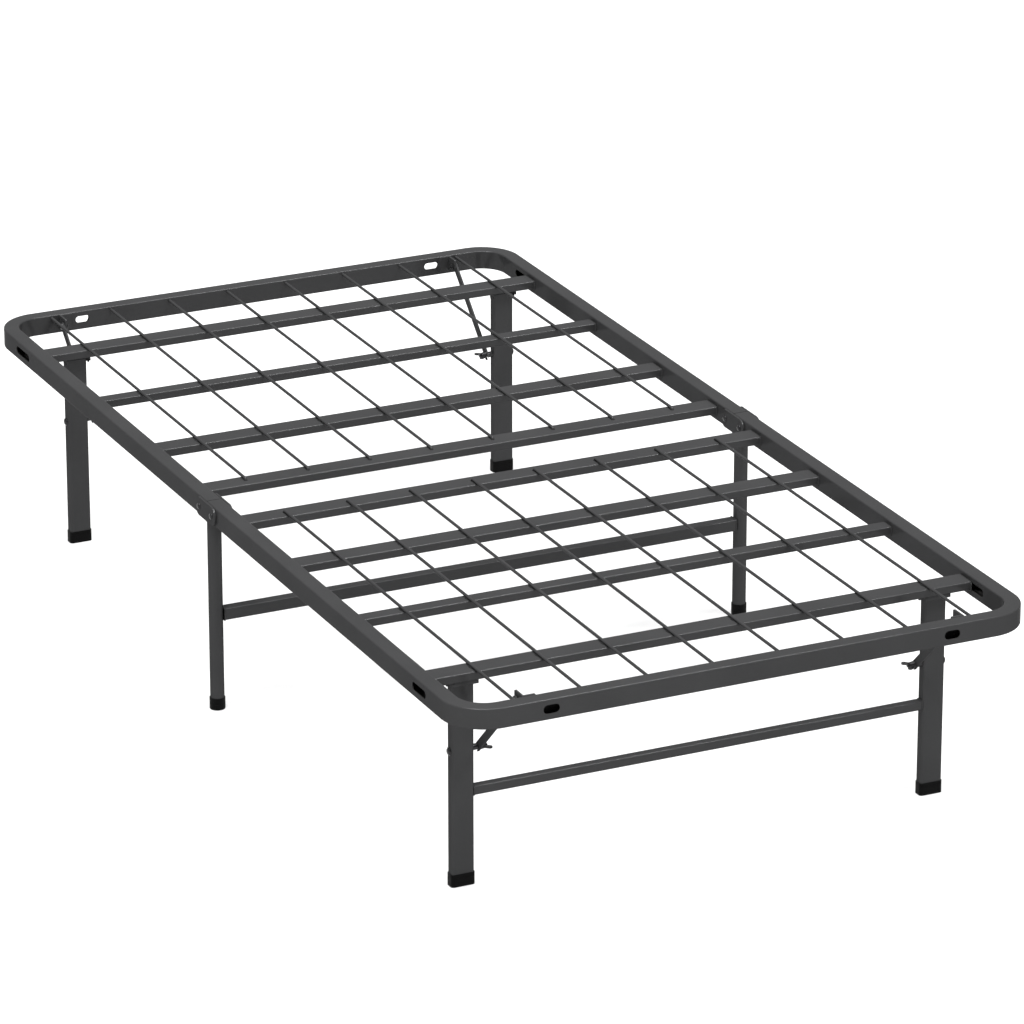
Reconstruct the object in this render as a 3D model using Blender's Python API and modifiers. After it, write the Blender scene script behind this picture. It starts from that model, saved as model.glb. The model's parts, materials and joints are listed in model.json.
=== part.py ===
"""Folding metal bed frame: two rail halves joined by link plates, with folding legs and braces.

Frame: metres, +Z up, +Y towards the head end, origin on the floor under the centre.
Every shape is worked out in the head-right quarter (+X, +Y) and mirrored to the others.
"""
import math

import bmesh
import bpy
from mathutils import Matrix, Vector

# Overall size
LENGTH = 1.905
WIDTH = 0.959
HEIGHT = 0.356
GAP = 0.0003  # between pieces that touch
WALL = 0.0015  # tube walls and bracket sheet

# Side and end rails: one bent rectangular tube for each half
RAIL_WIDTH = 0.026
RAIL_HEIGHT = 0.033
RAIL_EDGE = 0.0025
CORNER_RADIUS = 0.070
RAIL_MIDDLE = HEIGHT - RAIL_HEIGHT / 2
RAIL_BOTTOM = HEIGHT - RAIL_HEIGHT
INNER_X = WIDTH / 2 - RAIL_WIDTH
INNER_Y = LENGTH / 2 - RAIL_WIDTH
MITRE = 0.0075  # cut back at the bottom of each butt end, so that the halves can fold
SEAM_HALF = 0.0012  # half the seam's width well above the rails; it narrows down to their mid-height
PAST_SEAM = 0.020

# Oblong slots in the rails
FOOT_SLOT = (0.0265, 0.014)
HEAD_SLOT = (0.0255, 0.0115)
SIDE_SLOT = {"foot": (0.048, 0.0130), "head": (0.060, 0.0130)}
SLOT_Z = 0.340
FOOT_SLOT_X = 0.333
HEAD_SLOT_Z = 0.3415
HEAD_SLOT_X = {"left": 0.324, "right": 0.332}
SLOT_Y = 0.807
VENT = (0.052, 0.020)
VENT_X = 0.330
VENT_Z = 0.3345

# Slats
SLAT_TOP = 0.348
SLAT_HEIGHT = 0.014
SLAT_EDGE = 0.0025
SLAT_BOTTOM = SLAT_TOP - SLAT_HEIGHT
WIDE_SLAT = 0.038
NARROW_SLAT = 0.026
SLATS = ((0.776, WIDE_SLAT), (0.527, NARROW_SLAT), (0.2795, WIDE_SLAT), (0.078, WIDE_SLAT))

# Support wires
WIRE_RADIUS = 0.0025
WIRE_X = (0.0545, 0.163, 0.2715, 0.380)
WIRE_Z = SLAT_TOP + GAP + WIRE_RADIUS
WIRE_HOLE_RADIUS = WIRE_RADIUS + 2 * GAP
WIRE_IN_RAIL = 0.004
WIRE_BEND = WIRE_RADIUS + GAP
WIRE_DROP = 0.0085

# Folding end legs
LEG_X = 0.398
LEG_Y = SLATS[0][0]
LEG_WIDTH = 0.037
LEG_DEPTH = 0.017
LEG_EDGE = 0.004
LEG_PIVOT = Vector((LEG_X, LEG_Y - LEG_DEPTH / 2 + 0.0035, 0.3265))
LEG_TOP = LEG_PIVOT.z + 0.0043
LEG_PIN_RADIUS = 0.0022
LEG_INNER_X = LEG_X - LEG_WIDTH / 2
LEG_OUTER_X = LEG_X + LEG_WIDTH / 2

# Sheet bracket that holds the leg's pivot pin under the slat
BRACKET_X = (0.3755, 0.419)
BRACKET_Y = (0.759, 0.793)
BRACKET_BOTTOM = 0.3275
BRACKET_SHEET = 0.0012
CHEEK_RADIUS = 0.0048

# Leg bolt with spacer, and its wing nut
BOLT_Z = 0.219
BOLT_RADIUS = 0.00275
BOLT_HEAD_RADIUS = 0.006
BOLT_HEAD_HEIGHT = 0.004
BOLT_END_X = 0.355
SPACER_RADIUS = 0.005
NUT_RADIUS = 0.006
NUT_HEIGHT = 0.0085
WING_SPAN = 0.030
WING_HEIGHT = 0.0165
WING_SHEET = 0.0026

# Diagonal brace, and its angle bracket on the end rail
BRACE_SHEET = 0.003
BRACE_X = 0.3675
BRACE_HALF_WIDTH = 0.0065
BRACE_HOLE_RADIUS = 0.003
FORK_HALF_SLOT = 0.0035
FORK_MOUTH = 0.0045
FORK_REACH = 0.008
FORK_NOSE = 0.0025
EAR_SHEET = 0.003
EAR_BOLT_RADIUS = 0.0025
EAR_BOLT = Vector((BRACE_X, 0.904, 0.342))
EAR_LENGTH = 0.0295
EAR_HIGH_CORNER = 0.002
EAR_LOW_CORNER = 0.004
EAR_TIP_BOTTOM = 0.3355
ANGLE_Z = (0.329, 0.3555)
FLANGE_LENGTH = 0.0207
FLANGE_SHEET = 0.005

# Cross tubes of the legs
FOOT_CROSS_SIDE = 0.015
FOOT_CROSS_Z = 0.1508
MIDDLE_CROSS_SIDE = 0.020
MIDDLE_CROSS_Z = 0.162

# Middle legs
MIDDLE_LEG_X = WIDTH / 2 - 0.0119
MIDDLE_LEG_RADIUS = 0.0115
MIDDLE_LEG_TOP = 0.321
PLUG_BOTTOM = 0.312
# Outline, in Y and Z, of the web between the link plates, inside the notch of the rails' mitres
WEB = ((0.0062, 0.3200), (0.0062, 0.3232), (0.0036, 0.3270), (0.0020, 0.3300))

# Floor caps
CAP_HEIGHT = 0.020
CAP_WALL = 0.00125
CAP_FLOOR = 0.003

# Link plates of the folding seam
LINK_PIVOT = 0.025
LINK_LENGTH = 0.080
LINK_HEIGHT = 0.031
LINK_SHEET = 0.003
RIVET_RADIUS = 0.003
RIVET_HEAD_RADIUS = 0.0052
RIVET_HEAD_HEIGHT = 0.0032

ALONG_X = Matrix(((0, 0, 1), (1, 0, 0), (0, 1, 0))).to_4x4()  # local Z to world X, local X to world Y
SIDES = (("left", -1), ("right", 1))
ENDS = (("foot", -1), ("head", 1))


def clear_scene():
    for obj in list(bpy.data.objects):
        bpy.data.objects.remove(obj, do_unlink=True)


def new_collection(name, hidden):
    collection = bpy.data.collections.new(name)
    collection.hide_render = hidden
    bpy.context.scene.collection.children.link(collection)
    return collection


clear_scene()
BED = new_collection("metal_bed_frame", False)
CUTTERS = new_collection("cutters", True)


def material(name, color, roughness, metallic):
    made = bpy.data.materials.new(name)
    made.use_nodes = True
    shader = made.node_tree.nodes["Principled BSDF"]
    shader.inputs["Base Color"].default_value = (*color, 1)
    shader.inputs["Roughness"].default_value = roughness
    shader.inputs["Metallic"].default_value = metallic
    return made


POWDER_COAT = material("powder_coat", (0.055, 0.056, 0.058), 0.45, 0.3)
BLACK_PLASTIC = material("black_plastic", (0.012, 0.012, 0.012), 0.5, 0.0)
BLACK_STEEL = material("black_steel", (0.02, 0.02, 0.022), 0.4, 0.6)


# --- Mesh tools -------------------------------------------------------------------------------


def helper(data):
    """A hidden object that holds data while its modifiers are worked out."""
    obj = bpy.data.objects.new("helper", data)
    obj.display_type = "WIRE"
    obj.hide_render = True
    CUTTERS.objects.link(obj)
    return obj


def bake(obj):
    """The evaluated mesh of a helper, welded and facing out; the helper is removed."""
    bpy.context.view_layer.update()
    graph = bpy.context.evaluated_depsgraph_get()
    mesh = bpy.data.meshes.new_from_object(obj.evaluated_get(graph))
    bpy.data.objects.remove(obj, do_unlink=True)
    shape = bmesh.new()
    shape.from_mesh(mesh)
    bmesh.ops.remove_doubles(shape, verts=shape.verts, dist=1e-6)
    bmesh.ops.recalc_face_normals(shape, faces=shape.faces)
    if shape.calc_volume(signed=True) < 0:
        bmesh.ops.reverse_faces(shape, faces=shape.faces)
    shape.to_mesh(mesh)
    shape.free()
    return mesh


def moved(mesh, matrix):
    """A copy of the mesh, moved; a mirroring matrix keeps its faces turned outwards."""
    copy = mesh.copy()
    copy.transform(matrix)
    if matrix.determinant() < 0:
        copy.flip_normals()
    return copy


def combine(mesh, operation, *tools):
    """Cut each tool from the mesh, or join it on."""
    body = helper(mesh)
    others = [helper(tool) for tool in tools]
    for other in others:
        boolean = body.modifiers.new("boolean", "BOOLEAN")
        boolean.operation = operation
        boolean.solver = "EXACT"
        boolean.object = other
    result = bake(body)
    for other in others:
        bpy.data.objects.remove(other, do_unlink=True)
    return result


def cut(mesh, *tools):
    return combine(mesh, "DIFFERENCE", *tools)


def join(mesh, *tools):
    return combine(mesh, "UNION", *tools)


def box(low, high):
    """A box between two corners."""
    low, high = Vector(low), Vector(high)
    shape = bmesh.new()
    bmesh.ops.create_cube(shape, size=1)
    size = Matrix.Diagonal((*(high - low), 1))
    bmesh.ops.transform(shape, matrix=Matrix.Translation((low + high) / 2) @ size, verts=shape.verts)
    mesh = bpy.data.meshes.new("box")
    shape.to_mesh(mesh)
    shape.free()
    return mesh


def flat(outlines, thickness):
    """A flat shape in the XY plane, centred on it; outlines after the first are holes."""
    curve = bpy.data.curves.new("outline", "CURVE")
    curve.dimensions = "2D"
    curve.fill_mode = "BOTH"
    curve.extrude = thickness / 2
    for outline in outlines:
        spline = curve.splines.new("POLY")
        spline.points.add(len(outline) - 1)
        spline.use_cyclic_u = True
        for point, (x, y) in zip(spline.points, outline):
            point.co = (x, y, 0, 1)
    return bake(helper(curve))


def turned(profile, steps=12):
    """A shape turned about Z from (radius, height) points, listed top to bottom."""
    mesh = bpy.data.meshes.new("profile")
    edges = [(i, i + 1) for i in range(len(profile) - 1)]
    mesh.from_pydata([(radius, 0, height) for radius, height in profile], edges, [])
    obj = helper(mesh)
    screw = obj.modifiers.new("turn", "SCREW")
    screw.steps = screw.render_steps = steps
    screw.use_merge_vertices = True
    screw.merge_threshold = 0.0001
    return bake(obj)


def rod(start, end, radius, steps=12):
    """A cylinder between two points."""
    start, end = Vector(start), Vector(end)
    length = (end - start).length
    mesh = turned([(0, length), (radius, length), (radius, 0), (0, 0)], steps)
    turn = (end - start).to_track_quat("Z", "Y").to_matrix().to_4x4()
    return moved(mesh, Matrix.Translation(start) @ turn)


def bevelled(mesh, width, segments=2):
    obj = helper(mesh)
    bevel = obj.modifiers.new("bevel", "BEVEL")
    bevel.width = width
    bevel.segments = segments
    bevel.limit_method = "ANGLE"
    bevel.angle_limit = math.radians(40)
    return bake(obj)


def arc(center, radius, first, last, steps):
    """Points on an arc between two angles in degrees."""
    points = []
    for step in range(steps + 1):
        angle = math.radians(first + (last - first) * step / steps)
        points.append((center[0] + radius * math.cos(angle), center[1] + radius * math.sin(angle)))
    return points


def rounded_rectangle(width, height, radius, steps=2):
    points = []
    x, y = width / 2 - radius, height / 2 - radius
    for turn, (sx, sy) in enumerate(((1, 1), (-1, 1), (-1, -1), (1, -1))):
        points += arc((sx * x, sy * y), radius, 90 * turn, 90 * turn + 90, steps)
    return points


def circle(center, radius, steps=12):
    return arc(center, radius, 0, 360, steps)[:-1]


def tube(width, height, radius, length):
    """A hollow rectangular tube along Z, centred, open at both ends."""
    outer = rounded_rectangle(width, height, radius)
    inner = rounded_rectangle(width - 2 * WALL, height - 2 * WALL, radius - WALL, 1)
    return flat([outer, inner], length)


def oblong(length, height):
    return rounded_rectangle(length, height, height / 2 - GAP, 4)


def place(name, mesh, finish, origin=(0, 0, 0)):
    """Make the node: its origin is moved to a point, and its shape stays where it is."""
    mesh.transform(Matrix.Translation(-Vector(origin)))
    mesh.name = name
    mesh.materials.clear()
    mesh.materials.append(finish)
    mesh.shade_smooth()
    mesh.set_sharp_from_angle(angle=math.radians(35))
    obj = bpy.data.objects.new(name, mesh)
    obj.location = origin
    BED.objects.link(obj)
    return obj


def place_corners(name, mesh, finish, origin=(0, 0, 0)):
    """Mirror a head-right shape to the four corners of the bed."""
    for end, sy in ENDS:
        for side, sx in SIDES:
            mirror = Matrix.Diagonal((sx, sy, 1, 1))
            place(f"{name}_{end}_{side}", moved(mesh, mirror), finish, mirror @ Vector(origin))


# --- Rails ------------------------------------------------------------------------------------


def rail_outline(inset, start):
    """The U of the head half seen from above, drawn in from its true faces by inset."""
    points = []
    outer_x, outer_y = WIDTH / 2 - inset, LENGTH / 2 - inset
    inner_x, inner_y = INNER_X + inset, INNER_Y + inset
    outer_radius = CORNER_RADIUS - inset
    inner_radius = CORNER_RADIUS - RAIL_WIDTH + inset
    points.append((outer_x, start))
    points += arc((outer_x - outer_radius, outer_y - outer_radius), outer_radius, 0, 90, 9)
    points += arc((outer_radius - outer_x, outer_y - outer_radius), outer_radius, 90, 180, 9)
    points += [(-outer_x, start), (-inner_x, start)]
    points += arc((inner_radius - inner_x, inner_y - inner_radius), inner_radius, 180, 90, 6)
    points += arc((inner_x - inner_radius, inner_y - inner_radius), inner_radius, 90, 0, 6)
    points.append((inner_x, start))
    return points


def seam_cutter():
    """Everything on the foot side of the seam, with the mitre under the rail's mid-height."""
    outline = [
        (-0.1, RAIL_BOTTOM - 0.02),
        (GAP / 2 + MITRE * (0.02 + RAIL_HEIGHT / 2) / (RAIL_HEIGHT / 2), RAIL_BOTTOM - 0.02),
        (GAP / 2, RAIL_MIDDLE),
        (SEAM_HALF, HEIGHT + 0.02),
        (-0.1, HEIGHT + 0.02),
    ]
    return moved(flat([outline], WIDTH + 0.1), ALONG_X)


def slot_cutter(size, center, along_x, depth):
    """An oblong cutter lying along Y through a side rail, or along X through an end rail."""
    mesh = moved(flat([oblong(*size)], depth), ALONG_X)
    turn = Matrix.Rotation(math.radians(90), 4, "Z") if along_x else Matrix.Identity(4)
    return moved(mesh, Matrix.Translation(center) @ turn)


def rail_half(end):
    """One half of the rail, lying on the head side; the two halves differ only in their slots."""
    to_middle = Matrix.Translation((0, 0, RAIL_MIDDLE))
    solid = bevelled(flat([rail_outline(0, -PAST_SEAM)], RAIL_HEIGHT), RAIL_EDGE)
    hollow = flat([rail_outline(WALL, -2 * PAST_SEAM)], RAIL_HEIGHT - 2 * WALL)
    rail = cut(moved(solid, to_middle), moved(hollow, to_middle), seam_cutter())
    tools = []
    for side, sx in SIDES:
        side_x = sx * (WIDTH / 2 - RAIL_WIDTH / 2)
        tools.append(slot_cutter(SIDE_SLOT[end], (side_x, SLOT_Y, SLOT_Z), False, 0.04))
        pivot = Vector((side_x, LINK_PIVOT, RAIL_MIDDLE))
        across = Vector((0.02, 0, 0))
        tools.append(rod(pivot - across, pivot + across, RIVET_RADIUS + GAP, 12))
        tools += end_slots(end, side, sx)
        for x in WIRE_X:
            start = Vector((sx * x, INNER_Y - 0.005, WIRE_Z))
            tools.append(rod(start, start + Vector((0, 0.01, 0)), WIRE_HOLE_RADIUS, 10))
    return cut(rail, *tools)


def end_slots(end, side, sx):
    """The oblong slot on the foot rail's outside, or the slot and vent through the head rail."""
    if end == "foot":
        return [slot_cutter(FOOT_SLOT, (sx * FOOT_SLOT_X, LENGTH / 2, SLOT_Z), True, 0.01)]
    inside = (sx * HEAD_SLOT_X[side], INNER_Y, HEAD_SLOT_Z)
    outside = (sx * VENT_X, LENGTH / 2, VENT_Z)
    return [
        slot_cutter(HEAD_SLOT, inside, True, 0.01),
        slot_cutter(VENT, outside, True, 0.01),
    ]


def make_rails():
    for end, sy in ENDS:
        mirror = Matrix.Diagonal((1, sy, 1, 1))
        pivot = (0, sy * LINK_PIVOT, RAIL_MIDDLE)
        place(f"{end}_rail", moved(rail_half(end), mirror), POWDER_COAT, pivot)


# --- Slats and wires --------------------------------------------------------------------------


def slat(y, width):
    length = 2 * (INNER_X - GAP)
    mesh = moved(tube(width, SLAT_HEIGHT, SLAT_EDGE, length), ALONG_X)
    return moved(mesh, Matrix.Translation((0, y, SLAT_TOP - SLAT_HEIGHT / 2)))


def make_slats():
    """Slats 1 to 4 run from the head to the seam, and 5 to 8 from the seam to the foot."""
    for number, (y, width) in enumerate(SLATS, 1):
        mesh = slat(y, width)
        if number == len(SLATS):
            tops = [Vector((sx * x, y, SLAT_TOP - WALL)) for x in WIRE_X for sx in (-1, 1)]
            down = Vector((0, 0, 0.004))
            mesh = cut(mesh, *[rod(top - down, top + down, WIRE_HOLE_RADIUS, 10) for top in tops])
        place(f"slat_{number}", mesh.copy(), POWDER_COAT)
        foot = moved(mesh, Matrix.Diagonal((1, -1, 1, 1)))
        place(f"slat_{2 * len(SLATS) + 1 - number}", foot, POWDER_COAT)


def wire(x):
    """A wire from the end rail's inner wall to a bend down into the slat by the seam."""
    last_y = SLATS[-1][0]
    curve = bpy.data.curves.new("wire", "CURVE")
    curve.dimensions = "3D"
    curve.bevel_depth = WIRE_RADIUS
    curve.bevel_resolution = 2
    curve.use_fill_caps = True
    route = [(INNER_Y + WIRE_IN_RAIL, WIRE_Z)]
    route += arc((last_y + WIRE_BEND, WIRE_Z - WIRE_BEND), WIRE_BEND, 90, 180, 3)
    route.append((last_y, WIRE_Z - WIRE_DROP))
    spline = curve.splines.new("POLY")
    spline.points.add(len(route) - 1)
    for point, (y, z) in zip(spline.points, route):
        point.co = (x, y, z, 1)
    return bake(helper(curve))


def make_wires():
    """Wires are numbered from the left."""
    places = [-x for x in reversed(WIRE_X)] + list(WIRE_X)
    for end, sy in ENDS:
        for number, x in enumerate(places, 1):
            mirror = Matrix.Diagonal((1, sy, 1, 1))
            place(f"wire_{end}_{number}", moved(wire(x), mirror), POWDER_COAT)


# --- End legs ---------------------------------------------------------------------------------


def leg_bracket():
    """An inverted tray under the slat, with a round cheek at each end of the pivot pin."""
    low = Vector((BRACKET_X[0], BRACKET_Y[0], BRACKET_BOTTOM))
    high = Vector((BRACKET_X[1], BRACKET_Y[1], SLAT_BOTTOM - GAP))
    sheet = Vector((BRACKET_SHEET, BRACKET_SHEET, BRACKET_SHEET))
    inner_low = low + Vector((BRACKET_SHEET, -0.01, -0.01))
    inside = box(inner_low, high - sheet)
    cheeks = rod(on_pin(low.x), on_pin(high.x), CHEEK_RADIUS, 20)
    hole = rod(on_pin(low.x - 0.01), on_pin(high.x + 0.01), LEG_PIN_RADIUS + GAP, 12)
    return cut(join(box(low, high), cheeks), inside, hole)


def on_pin(x):
    """The point of the leg's pivot axis at x."""
    return Vector((x, LEG_PIVOT.y, LEG_PIVOT.z))


def leg_bolt():
    """Domed head outside, spacer inside, and a long end for the wing nut, along X."""
    head = LEG_OUTER_X + BOLT_HEAD_HEIGHT
    neck = LEG_OUTER_X - WALL / 2
    collar = LEG_INNER_X + WALL / 2
    profile = [
        (0, head),
        (BOLT_HEAD_RADIUS * 0.5, head - BOLT_HEAD_HEIGHT * 0.12),
        (BOLT_HEAD_RADIUS * 0.87, head - BOLT_HEAD_HEIGHT * 0.45),
        (BOLT_HEAD_RADIUS, head - BOLT_HEAD_HEIGHT * 0.85),
        (BOLT_HEAD_RADIUS, neck),
        (BOLT_RADIUS, neck),
        (BOLT_RADIUS, collar),
        (SPACER_RADIUS, collar),
        (SPACER_RADIUS, BRACE_X + BRACE_SHEET + GAP),
        (BOLT_RADIUS, BRACE_X + BRACE_SHEET + GAP),
        (BOLT_RADIUS, BOLT_END_X),
        (0, BOLT_END_X),
    ]
    return moved(turned(profile), Matrix.Translation((0, LEG_Y, BOLT_Z)) @ ALONG_X)


def leg():
    bottom = CAP_FLOOR + GAP
    mesh = tube(LEG_WIDTH, LEG_DEPTH, LEG_EDGE, LEG_TOP - bottom)
    mesh = moved(mesh, Matrix.Translation((LEG_X, LEG_Y, (LEG_TOP + bottom) / 2)))
    pin = rod(on_pin(BRACKET_X[0] - 0.001), on_pin(BRACKET_X[1] + 0.001), LEG_PIN_RADIUS, 12)
    return join(mesh, leg_bolt(), pin)


def leg_cap():
    outer = rounded_rectangle(LEG_WIDTH + 2 * CAP_WALL, LEG_DEPTH + 2 * CAP_WALL, LEG_EDGE + CAP_WALL)
    pocket = rounded_rectangle(LEG_WIDTH + 2 * GAP, LEG_DEPTH + 2 * GAP, LEG_EDGE + GAP)
    solid = moved(flat([outer], CAP_HEIGHT), Matrix.Translation((LEG_X, LEG_Y, CAP_HEIGHT / 2)))
    inside = moved(flat([pocket], CAP_HEIGHT), Matrix.Translation((LEG_X, LEG_Y, CAP_FLOOR + CAP_HEIGHT / 2)))
    return cut(solid, inside)


def wing_nut():
    """A hub with two wings, threaded on the leg bolt, wings towards the bed's middle."""
    hub_top = NUT_HEIGHT
    hub = turned([(0, hub_top), (NUT_RADIUS * 0.8, hub_top), (NUT_RADIUS, 0), (0, 0)])
    half = WING_SPAN / 2
    outline = [(-0.004, 0.001), (0.004, 0.001)]
    outline += arc((half - 0.0042, WING_HEIGHT - 0.0042), 0.0042, -45, 135, 6)
    outline.append((0.0015, NUT_HEIGHT * 0.7))
    outline.append((-0.0015, NUT_HEIGHT * 0.7))
    outline += arc((0.0042 - half, WING_HEIGHT - 0.0042), 0.0042, 45, 225, 6)
    upright = Matrix.Rotation(math.radians(90), 4, "X")
    wings = moved(flat([outline], WING_SHEET), upright)
    bore = rod((0, 0, -0.01), (0, 0, 0.03), BOLT_RADIUS + GAP)
    away = Matrix.Rotation(math.radians(180), 4, "Z") @ ALONG_X
    return moved(cut(join(hub, wings), bore), Matrix.Translation((BRACE_X - GAP, LEG_Y, BOLT_Z)) @ away)


def make_legs():
    place_corners("leg_bracket", leg_bracket(), POWDER_COAT)
    place_corners("leg", leg(), POWDER_COAT, LEG_PIVOT)
    place_corners("leg_cap", leg_cap(), BLACK_PLASTIC)
    place_corners("wing_nut", wing_nut(), BLACK_STEEL, (BRACE_X, LEG_Y, BOLT_Z))
    cross = tube(FOOT_CROSS_SIDE, FOOT_CROSS_SIDE, SLAT_EDGE, 2 * (LEG_INNER_X - GAP))
    center = Matrix.Translation((0, -LEG_Y, FOOT_CROSS_Z))
    place("foot_leg_crossbar", moved(cross, center @ ALONG_X), POWDER_COAT)


# --- Braces -----------------------------------------------------------------------------------


def brace_axes():
    """The brace's length, and the matrix from its own plane to the bed."""
    span = Vector((0, LEG_Y, BOLT_Z)) - Vector((0, EAR_BOLT.y, EAR_BOLT.z))
    turn = Matrix.Rotation(math.atan2(span.z, span.y), 4, "X")
    middle = Vector((BRACE_X + BRACE_SHEET / 2, EAR_BOLT.y, EAR_BOLT.z))
    return span.length, Matrix.Translation(middle) @ turn @ ALONG_X


def brace():
    """A flat bar from the ear bolt to the leg bolt, forked where it hooks over the leg bolt."""
    length, to_bed = brace_axes()
    tip = length + FORK_REACH
    outline = arc((0, 0), BRACE_HALF_WIDTH, 90, 270, 8)
    nose = BRACE_HALF_WIDTH - FORK_NOSE
    outline += arc((tip - FORK_NOSE, -nose), FORK_NOSE, -90, -20, 3)
    outline.append((tip, -FORK_MOUTH))
    outline += arc((length, 0), FORK_HALF_SLOT, 270, 90, 8)
    outline.append((tip, FORK_MOUTH))
    outline += arc((tip - FORK_NOSE, nose), FORK_NOSE, 20, 90, 3)
    return moved(flat([outline, circle((0, 0), BRACE_HOLE_RADIUS)], BRACE_SHEET), to_bed)


def brace_bracket():
    """An angle on the end rail's inner wall: a flange, an ear, and the ear's bolt."""
    wall_y = INNER_Y - GAP
    low_z, high_z = ANGLE_Z
    ear_x = BRACE_X - GAP - EAR_SHEET
    tip_y = wall_y - EAR_LENGTH
    outline = [(wall_y, low_z), (wall_y, high_z)]
    high, low = EAR_HIGH_CORNER, EAR_LOW_CORNER
    outline += arc((tip_y + high, high_z - high), high, 90, 180, 3)
    outline += arc((tip_y + low, EAR_TIP_BOTTOM + low), low, 180, 245, 3)
    ear = moved(flat([outline], EAR_SHEET), Matrix.Translation((ear_x + EAR_SHEET / 2, 0, 0)) @ ALONG_X)
    flange_low = (ear_x + EAR_SHEET - FLANGE_LENGTH, wall_y - FLANGE_SHEET, low_z)
    flange = box(flange_low, (ear_x + EAR_SHEET / 2, wall_y, high_z))
    return join(ear, flange, ear_bolt(ear_x))


def ear_bolt(ear_x):
    """Nut inside the ear, shank through the brace, domed head outside."""
    outer = BRACE_X + BRACE_SHEET + GAP
    profile = [
        (0, outer + 0.0035),
        (0.003, outer + 0.0031),
        (0.005, outer + 0.0015),
        (0.0055, outer),
        (EAR_BOLT_RADIUS, outer),
        (EAR_BOLT_RADIUS, ear_x + EAR_SHEET / 2),
        (0.0048, ear_x + EAR_SHEET / 2),
        (0.0048, ear_x - 0.0035),
        (0, ear_x - 0.0035),
    ]
    return moved(turned(profile), Matrix.Translation((0, EAR_BOLT.y, EAR_BOLT.z)) @ ALONG_X)


def make_braces():
    place_corners("brace_bracket", brace_bracket(), POWDER_COAT)
    place_corners("brace", brace(), POWDER_COAT, EAR_BOLT)


# --- Middle legs and folding seam -------------------------------------------------------------


def middle_leg():
    """A round tube, plugged at its top, with a web that stands up between the link plates."""
    bottom = CAP_FLOOR + GAP
    outer = MIDDLE_LEG_RADIUS
    profile = [(0, MIDDLE_LEG_TOP), (outer, MIDDLE_LEG_TOP), (outer, bottom), (0, bottom)]
    solid = moved(turned(profile, 20), Matrix.Translation((MIDDLE_LEG_X, 0, 0)))
    outline = [*WEB, *[(-y, z) for y, z in reversed(WEB)]]
    middle = Matrix.Translation(((WIDTH - RAIL_WIDTH) / 2, 0, 0))
    web = moved(flat([outline], RAIL_WIDTH), middle @ ALONG_X)
    bore = rod((MIDDLE_LEG_X, 0, -0.01), (MIDDLE_LEG_X, 0, PLUG_BOTTOM), outer - WALL)
    return cut(join(solid, web), bore)


def middle_cap():
    outer = MIDDLE_LEG_RADIUS + CAP_WALL
    pocket = MIDDLE_LEG_RADIUS + GAP
    profile = [
        (0, CAP_FLOOR),
        (pocket, CAP_FLOOR),
        (pocket, CAP_HEIGHT),
        (outer, CAP_HEIGHT),
        (outer, 0.001),
        (outer - 0.001, 0),
        (0, 0),
    ]
    return moved(turned(profile, 20), Matrix.Translation((MIDDLE_LEG_X, 0, 0)))


def link_outline():
    """A long plate with round ends over the rail."""
    radius = LINK_HEIGHT / 2
    center = LINK_LENGTH / 2 - radius
    points = arc((center, RAIL_MIDDLE), radius, -90, 90, 8)
    return points + arc((-center, RAIL_MIDDLE), radius, 90, 270, 8)


def rivet(y, z, base, out, length):
    """A domed head on the plate's face at x = base, and a shank of this length behind it."""
    profile = [
        (0, RIVET_HEAD_HEIGHT),
        (RIVET_HEAD_RADIUS * 0.55, RIVET_HEAD_HEIGHT * 0.85),
        (RIVET_HEAD_RADIUS * 0.9, RIVET_HEAD_HEIGHT * 0.4),
        (RIVET_HEAD_RADIUS, -0.0005),
        (RIVET_RADIUS, -0.0005),
        (RIVET_RADIUS, -length),
        (0, -length),
    ]
    mesh = turned(profile)
    if out < 0:
        mesh = moved(mesh, Matrix.Rotation(math.radians(180), 4, "X"))
    return moved(mesh, Matrix.Translation((base, y, z)) @ ALONG_X)


def link_plate(outside):
    """The plate outside or inside the rail; the outer one carries the pivot pins."""
    if outside:
        low, out = WIDTH / 2 + GAP, 1
        face, shank = low + LINK_SHEET, LINK_SHEET + RAIL_WIDTH + GAP
    else:
        low, out = INNER_X - GAP - LINK_SHEET, -1
        face, shank = low, LINK_SHEET / 2
    plate = moved(flat([link_outline()], LINK_SHEET), Matrix.Translation((low + LINK_SHEET / 2, 0, 0)) @ ALONG_X)
    heads = [rivet(y, RAIL_MIDDLE, face, out, shank) for y in (-LINK_PIVOT, LINK_PIVOT)]
    return join(plate, *heads)


def make_middle():
    cross = tube(MIDDLE_CROSS_SIDE, MIDDLE_CROSS_SIDE, SLAT_EDGE, 2 * (MIDDLE_LEG_X - MIDDLE_LEG_RADIUS - GAP))
    place("middle_crossbar", moved(cross, Matrix.Translation((0, 0, MIDDLE_CROSS_Z)) @ ALONG_X), POWDER_COAT)
    pieces = (
        ("middle_leg", middle_leg(), POWDER_COAT),
        ("middle_cap", middle_cap(), BLACK_PLASTIC),
        ("link_plate_outer", link_plate(True), POWDER_COAT),
        ("link_plate_inner", link_plate(False), POWDER_COAT),
    )
    for name, mesh, finish in pieces:
        for side, sx in SIDES:
            place(f"{name}_{side}", moved(mesh, Matrix.Diagonal((sx, 1, 1, 1))), finish)


make_rails()
make_slats()
make_wires()
make_legs()
make_braces()
make_middle()
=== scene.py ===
"""Looks of the folding metal bed frame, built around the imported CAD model. Metres, +Z up."""
import json
import math

import bmesh
import bpy
from mathutils import Matrix, Vector, noise


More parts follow.
